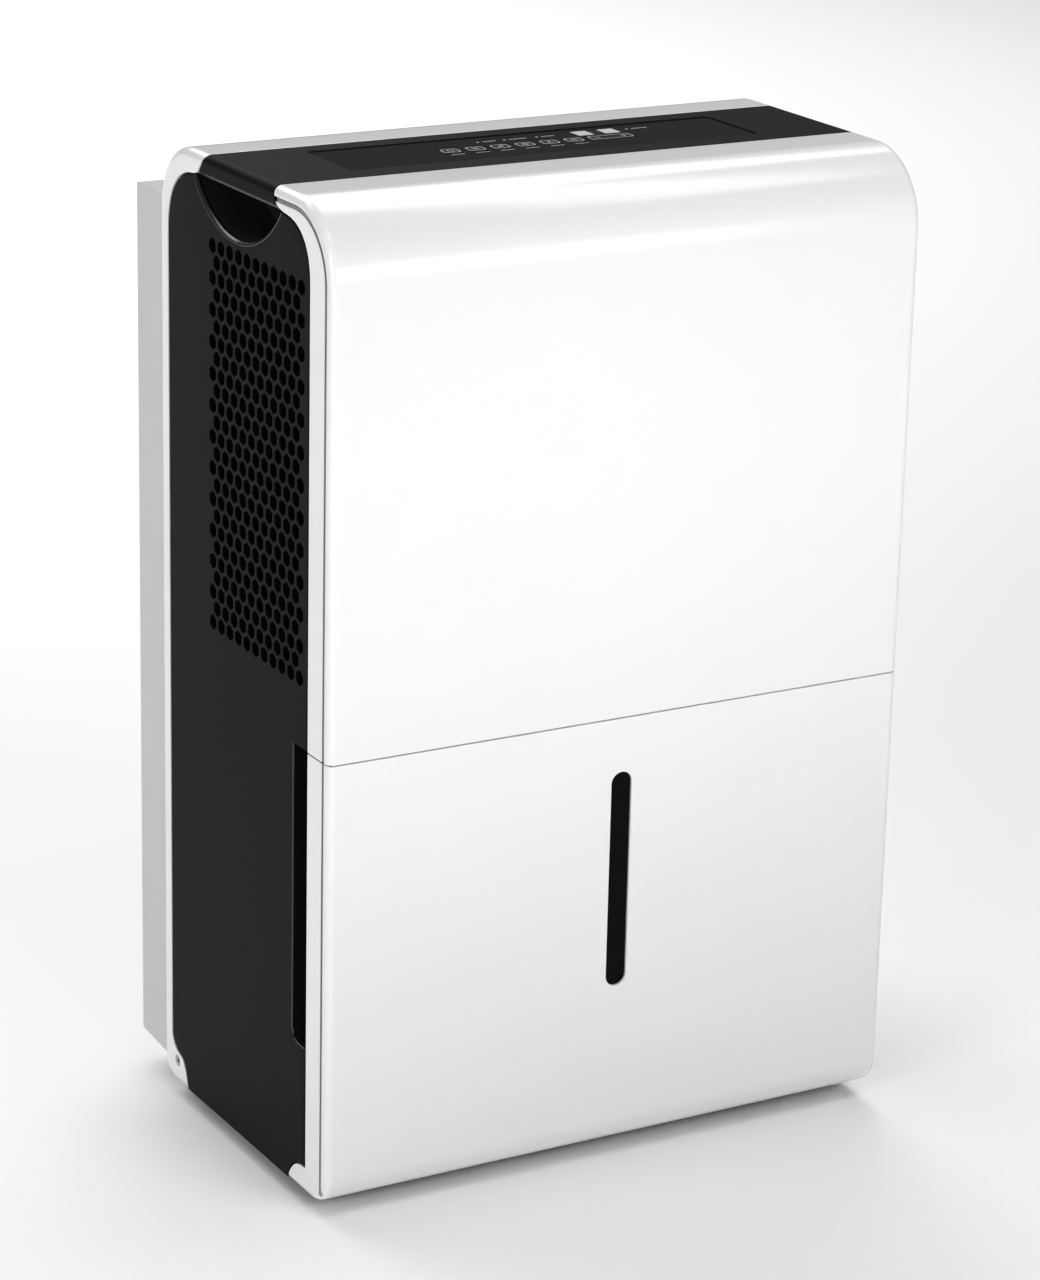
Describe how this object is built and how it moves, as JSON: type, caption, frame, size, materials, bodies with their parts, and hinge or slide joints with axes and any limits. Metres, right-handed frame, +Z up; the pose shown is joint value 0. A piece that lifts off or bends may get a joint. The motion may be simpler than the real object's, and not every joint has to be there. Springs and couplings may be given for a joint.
{
  "type": "portable dehumidifier",
  "caption": "Upright floor dehumidifier on casters: pull-out front bucket with level window, honeycomb side exhaust, scooped side handles, rear intake box and top control panel.",
  "frame": {"origin": "centre of the footprint, on the floor under the caster wheels", "axes": "+Z up, front with the bucket towards -Y, +X to the right as seen from the front; the honeycomb exhaust faces -X"},
  "size_m": [0.392, 0.276, 0.612],
  "materials": {
    "white_shell": "smooth white moulded ABS with a soft gloss",
    "black_panel": "fine-textured black ABS",
    "gloss_black": "polished black inlay",
    "key_black": "smooth black keys",
    "smoked_window": "smoked polycarbonate",
    "display_lens": "tinted display lens",
    "tub_plastic": "natural polypropylene",
    "grey_plastic": "grey moulded plastic",
    "dark_plastic": "dark grey moulded plastic",
    "filter_frame": "grey frame with fine mesh",
    "soft_rubber": "black moulded rubber",
    "clear_hose": "milky soft hose",
    "copper_tube": "drawn copper tube",
    "coil_fins": "stacked aluminium fins",
    "plated_steel": "zinc-plated steel",
    "compressor_enamel": "black enamelled steel",
    "circuit_board": "green laminate"
  },
  "bodies": {
    "chassis": {"front_cover": "white_shell", "rear_cover": "white_shell", "top_panel": "black_panel", "left_side_panel": "black_panel", "right_side_panel": "black_panel", "left_handle_pocket": "black_panel", "right_handle_pocket": "black_panel", "intake_grille": "dark_plastic", "left_toe_screw": "plated_steel", "right_toe_screw": "plated_steel", "drain_outlet": "grey_plastic", "drain_tube": "clear_hose", "cord_gland": "soft_rubber", "control_fascia": "gloss_black", "display_window": "display_lens", "control_board": "circuit_board", "base_pan": "grey_plastic", "bay_wall": "grey_plastic", "drip_deck": "grey_plastic", "float_sensor": "dark_plastic", "fan_scroll": "grey_plastic", "inlet_plate": "grey_plastic", "fan_motor": "plated_steel", "motor_bracket": "plated_steel", "run_capacitor": "coil_fins", "humidity_sensor": "dark_plastic", "evaporator": "coil_fins", "condenser": "coil_fins", "compressor": "compressor_enamel", "compressor_mount_1": "soft_rubber", "compressor_mount_2": "soft_rubber", "compressor_mount_3": "soft_rubber", "suction_pipe": "copper_tube", "discharge_pipe": "copper_tube", "capillary_tube": "copper_tube"},
    "bucket": {"bucket_front": "white_shell", "bucket_window": "smoked_window", "bucket_tub": "tub_plastic", "bucket_lid": "tub_plastic"},
    "bail": {"bucket_handle": "dark_plastic"},
    "float": {"bucket_float": "white_shell"},
    "filter": {"air_filter": "filter_frame"},
    "fan": {"fan_wheel": "dark_plastic", "fan_shaft": "plated_steel"},
    "drain_plug": {"drain_cap": "soft_rubber"},
    "power_key": {"power_button": "key_black"},
    "mode_key": {"mode_button": "key_black"},
    "fan_speed_key": {"fan_speed_button": "key_black"},
    "timer_key": {"timer_button": "key_black"},
    "pump_key": {"pump_button": "key_black"},
    "filter_reset_key": {"filter_reset_button": "key_black"},
    "rocker_key": {"humidity_rocker": "key_black"},
    "front_left_swivel": {"front_left_caster_fork": "dark_plastic"},
    "front_left_roller": {"front_left_caster_wheel": "soft_rubber"},
    "front_right_swivel": {"front_right_caster_fork": "dark_plastic"},
    "front_right_roller": {"front_right_caster_wheel": "soft_rubber"},
    "rear_left_swivel": {"rear_left_caster_fork": "dark_plastic"},
    "rear_left_roller": {"rear_left_caster_wheel": "soft_rubber"},
    "rear_right_swivel": {"rear_right_caster_fork": "dark_plastic"},
    "rear_right_roller": {"rear_right_caster_wheel": "soft_rubber"}
  },
  "joints": [
    {"name": "bucket_slide", "type": "slide", "parent": "chassis", "child": "bucket", "axis": [0, -1, 0], "range_m": [0, 0.15]},
    {"name": "bail_hinge", "type": "hinge", "parent": "bucket", "child": "bail", "pos_m": [0, -0.076, 0.269], "axis": [-1, 0, 0], "range_deg": [0, 90]},
    {"name": "float_hinge", "type": "hinge", "parent": "bucket", "child": "float", "pos_m": [-0.11, -0.0215, 0.234], "axis": [-1, 0, 0], "range_deg": [0, 14]},
    {"name": "filter_slide", "type": "slide", "parent": "chassis", "child": "filter", "axis": [0, 0, 1], "range_m": [0, 0.27]},
    {"name": "fan_spin", "type": "hinge", "parent": "chassis", "child": "fan", "pos_m": [0.045, -0.038, 0.44638], "axis": [0, 1, 0], "continuous": true},
    {"name": "drain_plug_pull", "type": "slide", "parent": "chassis", "child": "drain_plug", "axis": [1, 0, 0], "range_m": [0, 0.02]},
    {"name": "power_press", "type": "slide", "parent": "chassis", "child": "power_key", "axis": [0, 0, -1], "range_m": [0, 0.0008], "stiffness_N_per_m": 500, "springref_m": -0.001},
    {"name": "mode_press", "type": "slide", "parent": "chassis", "child": "mode_key", "axis": [0, 0, -1], "range_m": [0, 0.0008], "stiffness_N_per_m": 500, "springref_m": -0.001},
    {"name": "fan_speed_press", "type": "slide", "parent": "chassis", "child": "fan_speed_key", "axis": [0, 0, -1], "range_m": [0, 0.0008], "stiffness_N_per_m": 500, "springref_m": -0.001},
    {"name": "timer_press", "type": "slide", "parent": "chassis", "child": "timer_key", "axis": [0, 0, -1], "range_m": [0, 0.0008], "stiffness_N_per_m": 500, "springref_m": -0.001},
    {"name": "pump_press", "type": "slide", "parent": "chassis", "child": "pump_key", "axis": [0, 0, -1], "range_m": [0, 0.0008], "stiffness_N_per_m": 500, "springref_m": -0.001},
    {"name": "filter_reset_press", "type": "slide", "parent": "chassis", "child": "filter_reset_key", "axis": [0, 0, -1], "range_m": [0, 0.0008], "stiffness_N_per_m": 500, "springref_m": -0.001},
    {"name": "rocker_tilt", "type": "hinge", "parent": "chassis", "child": "rocker_key", "pos_m": [0.0506, -0.019, 0.6075], "axis": [0, 1, 0], "range_deg": [-3, 3], "stiffness_Nm_per_rad": 0.05},
    {"name": "front_left_caster_swivel", "type": "hinge", "parent": "chassis", "child": "front_left_swivel", "pos_m": [-0.15, -0.076, 0.04], "axis": [0, 0, 1], "continuous": true},
    {"name": "front_left_wheel_roll", "type": "hinge", "parent": "front_left_swivel", "child": "front_left_roller", "pos_m": [-0.15, -0.068, 0.014], "axis": [1, 0, 0], "continuous": true},
    {"name": "front_right_caster_swivel", "type": "hinge", "parent": "chassis", "child": "front_right_swivel", "pos_m": [0.15, -0.076, 0.04], "axis": [0, 0, 1], "continuous": true},
    {"name": "front_right_wheel_roll", "type": "hinge", "parent": "front_right_swivel", "child": "front_right_roller", "pos_m": [0.15, -0.068, 0.014], "axis": [1, 0, 0], "continuous": true},
    {"name": "rear_left_caster_swivel", "type": "hinge", "parent": "chassis", "child": "rear_left_swivel", "pos_m": [-0.15, 0.044, 0.04], "axis": [0, 0, 1], "continuous": true},
    {"name": "rear_left_wheel_roll", "type": "hinge", "parent": "rear_left_swivel", "child": "rear_left_roller", "pos_m": [-0.15, 0.052, 0.014], "axis": [1, 0, 0], "continuous": true},
    {"name": "rear_right_caster_swivel", "type": "hinge", "parent": "chassis", "child": "rear_right_swivel", "pos_m": [0.15, 0.044, 0.04], "axis": [0, 0, 1], "continuous": true},
    {"name": "rear_right_wheel_roll", "type": "hinge", "parent": "rear_right_swivel", "child": "rear_right_roller", "pos_m": [0.15, 0.052, 0.014], "axis": [1, 0, 0], "continuous": true}
  ]
}
